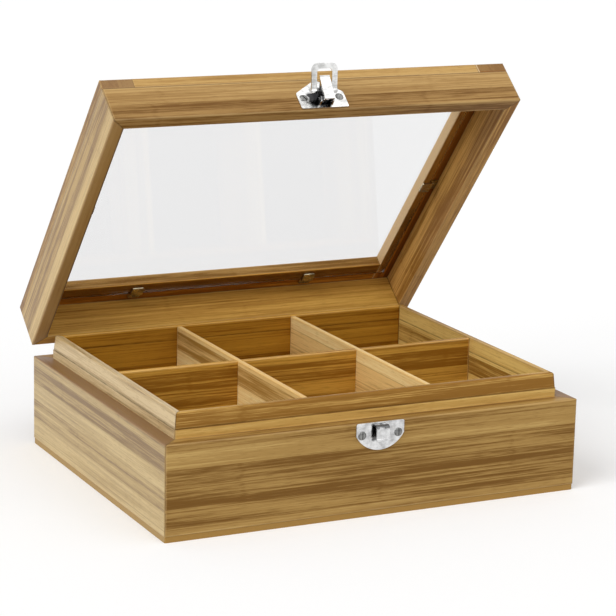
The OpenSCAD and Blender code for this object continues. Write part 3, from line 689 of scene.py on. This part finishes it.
def roundEdges(s):
    for name in s["nodes"]:
        weld = nodes[name].modifiers.new("weld", "WELD")
        weld.merge_threshold = s["weld"]
        bevel = nodes[name].modifiers.new("bevel", "BEVEL")
        bevel.width, bevel.segments = s["width"], s["segments"]
        bevel.limit_method, bevel.angle_limit = "ANGLE", math.radians(s["angle"])


roundEdges(pressedEdge)
print("metal dressed")


# Below the bending of real clear sheet, so that reflections stay as faint as in the photograph
paneLook = {
    "tint": (0.874, 0.875, 0.879, 1),
    "bending": 1.28,
    "smooth": 0.02,
    "smudged": 0.09,
    "smudge": {"scale": 38.0, "detail": 4.0, "roughness": 0.6},
    "smudgeFrom": 0.45,
    "smudgeTo": 0.75,
    "letsThrough": 0.92,
    "wave": {"scale": 14.0, "detail": 1.0},
    "bump": 0.05,
    "relief": 0.0005,
}


def paneMaterial(s):
    material, tree, shader = openMaterial("clearPane")
    where = objectPlace(tree)
    smudge = noise(tree, where, **s["smudge"])
    feed(tree, smooth(tree, smudge, s["smudgeFrom"], s["smudgeTo"], s["smooth"], s["smudged"]),
         shader.inputs["Roughness"])
    shader.inputs["Base Color"].default_value = s["tint"]
    shader.inputs["Transmission Weight"].default_value = 1.0
    shader.inputs["IOR"].default_value = s["bending"]
    addBump(tree, shader, noise(tree, where, **s["wave"]), s["bump"], s["relief"])
    # light passes through to the wood behind as it does through thin clear sheet
    path = addNode(tree, "ShaderNodeLightPath").outputs
    light = calc(tree, "MAXIMUM", path["Is Shadow Ray"], path["Is Diffuse Ray"])
    solid = calc(tree, "SUBTRACT", 1.0, calc(tree, "MULTIPLY", light, s["letsThrough"]))
    feed(tree, solid, shader.inputs["Alpha"])
    return material


dress("window_pane", paneMaterial(paneLook))
print("pane dressed")


# Screws: one tree makes a slotted head, puts it on every point and turns it by its attribute.
# Sizes in millimetres. The dome is a flattened ball, and what is sunk in the plate is a cone.
screwSizes = {
    "latch": {"Head Radius": 2.2, "Dome Height": 0.7, "Sink Height": 0.8, "Slot Depth": 0.63},
    "hinge": {"Head Radius": 2.0, "Dome Height": 0.06, "Sink Height": 0.8, "Slot Depth": 0.5},
    "clip": {"Head Radius": 1.6, "Dome Height": 0.7, "Sink Height": 0.1, "Slot Depth": 0.63},
}
screwCommon = {"Shank Radius": 1.1, "Slot Width": 0.6}
screwMesh = {"segments": 40, "rings": 20, "sharpAngle": 32}


def makeScrewTree(s):
    sizes = ("Head Radius", "Dome Height", "Sink Height", "Shank Radius", "Slot Width",
             "Slot Depth")
    tree, given, put = openGroup(
        "screwSet", "GeometryNodeTree",
        [("Places", "Geometry"), *((size, "Float") for size in sizes), ("Finish", "Material")],
        [("Screws", "Geometry")])
    ball = addNode(tree, "GeometryNodeMeshUVSphere", None, Segments=s["segments"], Rings=s["rings"],
                   Radius=1.0)
    dome = addNode(tree, "GeometryNodeTransform", None, Geometry=ball.outputs[0],
                   Scale=combine(tree, given["Head Radius"], given["Head Radius"],
                                 given["Dome Height"]))
    cone = addNode(tree, "GeometryNodeMeshCone", None, Vertices=s["segments"],
                   Radius_Top=given["Head Radius"], Radius_Bottom=given["Shank Radius"],
                   Depth=given["Sink Height"])
    down = calc(tree, "MULTIPLY", given["Sink Height"], -1.0)
    sunk = addNode(tree, "GeometryNodeTransform", None, Geometry=cone.outputs[0],
                   Translation=combine(tree, 0.0, 0.0, down))
    # the bar that cuts the slot is longer than the head, and its lower half is in the dome's top
    barLength = calc(tree, "MULTIPLY", given["Head Radius"], 3.0)
    barDepth = calc(tree, "MULTIPLY", given["Slot Depth"], 2.0)
    bar = addNode(tree, "GeometryNodeMeshCube", None,
                  Size=combine(tree, barLength, given["Slot Width"], barDepth))
    raised = addNode(tree, "GeometryNodeTransform", None, Geometry=bar.outputs[0],
                     Translation=combine(tree, 0.0, 0.0, given["Dome Height"]))
    slotted = tree.nodes.new("GeometryNodeJoinGeometry")
    for part in (sunk, dome):
        cut = addNode(tree, "GeometryNodeMeshBoolean", {"operation": "DIFFERENCE"})
        feed(tree, part.outputs[0], cut.inputs["Mesh 1"])
        feed(tree, raised.outputs[0], cut.inputs["Mesh 2"])
        feed(tree, cut.outputs[0], slotted.inputs[0])
    turn = addNode(tree, "GeometryNodeInputNamedAttribute", {"data_type": "FLOAT_VECTOR"},
                   Name="turn")
    turned = addNode(tree, "FunctionNodeEulerToRotation", None, Euler=turn.outputs[0])
    placed = addNode(tree, "GeometryNodeInstanceOnPoints", None, Points=given["Places"],
                     Instance=slotted.outputs[0], Rotation=turned.outputs[0])
    solid = addNode(tree, "GeometryNodeRealizeInstances", None, Geometry=placed.outputs[0])
    dressed = addNode(tree, "GeometryNodeSetMaterial", None, Geometry=solid.outputs[0],
                      Material=given["Finish"])
    feed(tree, dressed.outputs[0], put["Screws"])
    return tree


# Where the screws stand on the box and on the shut lid, each on the face that it is screwed into
screwPlaces = {
    "latchAside": 10, "plateFace": -91.8, "strikeHeight": 42.2, "latchHeight": 56.3,
    "hingesAt": (-72, 72), "leafAside": 8.5, "leafFace": 92.2, "fromHingeAxis": 8.6,
    "frameUnderside": 69.1, "clipForward": 2.9, "clipDown": -0.7,
    "clips": ((-52, 76.5, 0), (52, 76.5, 0), (-52, -76.5, 180), (52, -76.5, 180),
              (-101, 0, 90), (101, 0, -90)),  # X, Y and which way each one faces
}
slotTurns = {"strike": 90, "latch": 60, "hinge": 35, "hingeMore": 20, "clip": 25}


def screwsOnPlate(height, turns):
    s = screwPlaces
    return [shift(side * s["latchAside"], s["plateFace"], height) @ spin(90, "X") @ spin(turn, "Z")
            for side, turn in zip((-1, 1), turns)]


def screwsOnLeaves(above):
    s = screwPlaces
    height = joints["lid_hinge"]["pos_m"][2] / millimetre + above
    return [shift(x + side * s["leafAside"], s["leafFace"], height) @ spin(-90, "X")
            @ spin(side * slotTurns["hinge"] + slotTurns["hingeMore"], "Z")
            for x in s["hingesAt"] for side in (-1, 1)]


def screwsOnClips():
    s = screwPlaces
    onFoot = shift(0, s["clipForward"], s["clipDown"])
    upsideDown = spin(180, "X") @ spin(slotTurns["clip"], "Z")
    return [shift(x, y, s["frameUnderside"]) @ spin(facing, "Z") @ onFoot @ upsideDown
            for x, y, facing in s["clips"]]


def makeScrews(tree, node, sizes, body, finish, places):
    if body == "lid":
        places = [lidToRest() @ place for place in places]
    mesh = bpy.data.meshes.new(node + "_places")
    mesh.from_pydata([millimetre * place.to_translation() for place in places], [], [])
    turns = mesh.attributes.new("turn", "FLOAT_VECTOR", "POINT")
    for k, place in enumerate(places):
        turns.data[k].vector = tuple(place.to_euler("XYZ"))
    points = bpy.data.objects.new(node + "_places", mesh)
    bpy.context.scene.collection.objects.link(points)
    modifier = points.modifiers.new("screws", "NODES")
    modifier.node_group = tree
    keys = {item.name: item.identifier for item in tree.interface.items_tree
            if item.in_out == "INPUT"}
    for label, value in {**screwSizes[sizes], **screwCommon}.items():
        modifier[keys[label]] = millimetre * value
    modifier[keys["Finish"]] = finish
    ready = points.evaluated_get(bpy.context.evaluated_depsgraph_get())
    made = bpy.data.meshes.new_from_object(ready)
    made.name = node + "_made"
    made.polygons.foreach_set("use_smooth", [True] * len(made.polygons))
    made.set_sharp_from_angle(angle=math.radians(screwMesh["sharpAngle"]))
    piece = bpy.data.objects.new(node + "_made", made)
    bpy.context.scene.collection.objects.link(piece)
    bpy.data.objects.remove(points)
    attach(piece, body)
    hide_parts(node)


screwTree = makeScrewTree(screwMesh)
makeScrews(screwTree, "strike_screws", "latch", "box", screwNickel,
           screwsOnPlate(screwPlaces["strikeHeight"], (slotTurns["strike"], slotTurns["strike"])))
makeScrews(screwTree, "hinge_screws_base", "hinge", "box", screwNickel,
           screwsOnLeaves(-screwPlaces["fromHingeAxis"]))
makeScrews(screwTree, "latch_screws", "latch", "lid", screwNickel,
           screwsOnPlate(screwPlaces["latchHeight"], (-slotTurns["latch"], slotTurns["latch"])))
makeScrews(screwTree, "hinge_screws_lid", "hinge", "lid", screwNickel,
           screwsOnLeaves(screwPlaces["fromHingeAxis"]))
makeScrews(screwTree, "clip_screws", "clip", "lid", bronze, screwsOnClips())
print("screws made")


# Studio: a white floor and backdrop that glow for the camera, and two soft lamps
studio = {
    "floorHalf": 4.0,
    "floorColour": (0.8, 0.8, 0.8, 1),
    "floorRoughness": 0.9,
    "floorGlow": 0.2,
    "skyLevel": 0.5,
    "seenSkyLevel": 1.0,
    "white": (1, 1, 1, 1),
}
lamps = {
    "key": {"turn": (52, 0, -70), "level": 1.68, "spread": 40},
    "fill": {"turn": (35, 0, 25), "level": 0.7, "spread": 70},
}


# 1 for the camera and for what it sees in metal and through the pane
def seenFactor(tree):
    path = addNode(tree, "ShaderNodeLightPath").outputs
    seen = calc(tree, "MAXIMUM", path["Is Camera Ray"], path["Is Glossy Ray"])
    return calc(tree, "MAXIMUM", seen, path["Is Transmission Ray"])


def makeFloor(s):
    half = s["floorHalf"]
    corners = [(-half, -half, 0), (half, -half, 0), (half, half, 0), (-half, half, 0)]
    mesh = bpy.data.meshes.new("floor")
    mesh.from_pydata(corners, [], [(0, 1, 2, 3)])
    floor = bpy.data.objects.new("floor", mesh)
    bpy.context.scene.collection.objects.link(floor)
    material, tree, shader = openMaterial("paleFloor")
    shader.inputs["Base Color"].default_value = s["floorColour"]
    shader.inputs["Roughness"].default_value = s["floorRoughness"]
    shader.inputs["Specular IOR Level"].default_value = 0.0
    shader.inputs["Emission Color"].default_value = s["white"]
    glow = calc(tree, "MULTIPLY", seenFactor(tree), s["floorGlow"])
    feed(tree, glow, shader.inputs["Emission Strength"])
    mesh.materials.append(material)


def makeSky(s):
    world = bpy.data.worlds.new("studio")
    world.use_nodes = True
    bpy.context.scene.world = world
    tree = world.node_tree
    background = tree.nodes["Background"]
    background.inputs["Color"].default_value = s["white"]
    level = addNode(tree, "ShaderNodeMix", {"data_type": "FLOAT"}, i0=seenFactor(tree),
                    i2=s["skyLevel"], i3=s["seenSkyLevel"])
    feed(tree, level.outputs[0], background.inputs["Strength"])


def makeSun(name, turn, level, spread):
    data = bpy.data.lights.new(name, "SUN")
    data.energy, data.angle = level, math.radians(spread)
    sun = bpy.data.objects.new(name, data)
    sun.rotation_euler = Euler([math.radians(a) for a in turn])
    bpy.context.scene.collection.objects.link(sun)


makeFloor(studio)
makeSky(studio)
for lampName, lamp in lamps.items():
    makeSun(lampName, **lamp)
bpy.context.scene.view_settings.view_transform = "Standard"
print("studio lit")
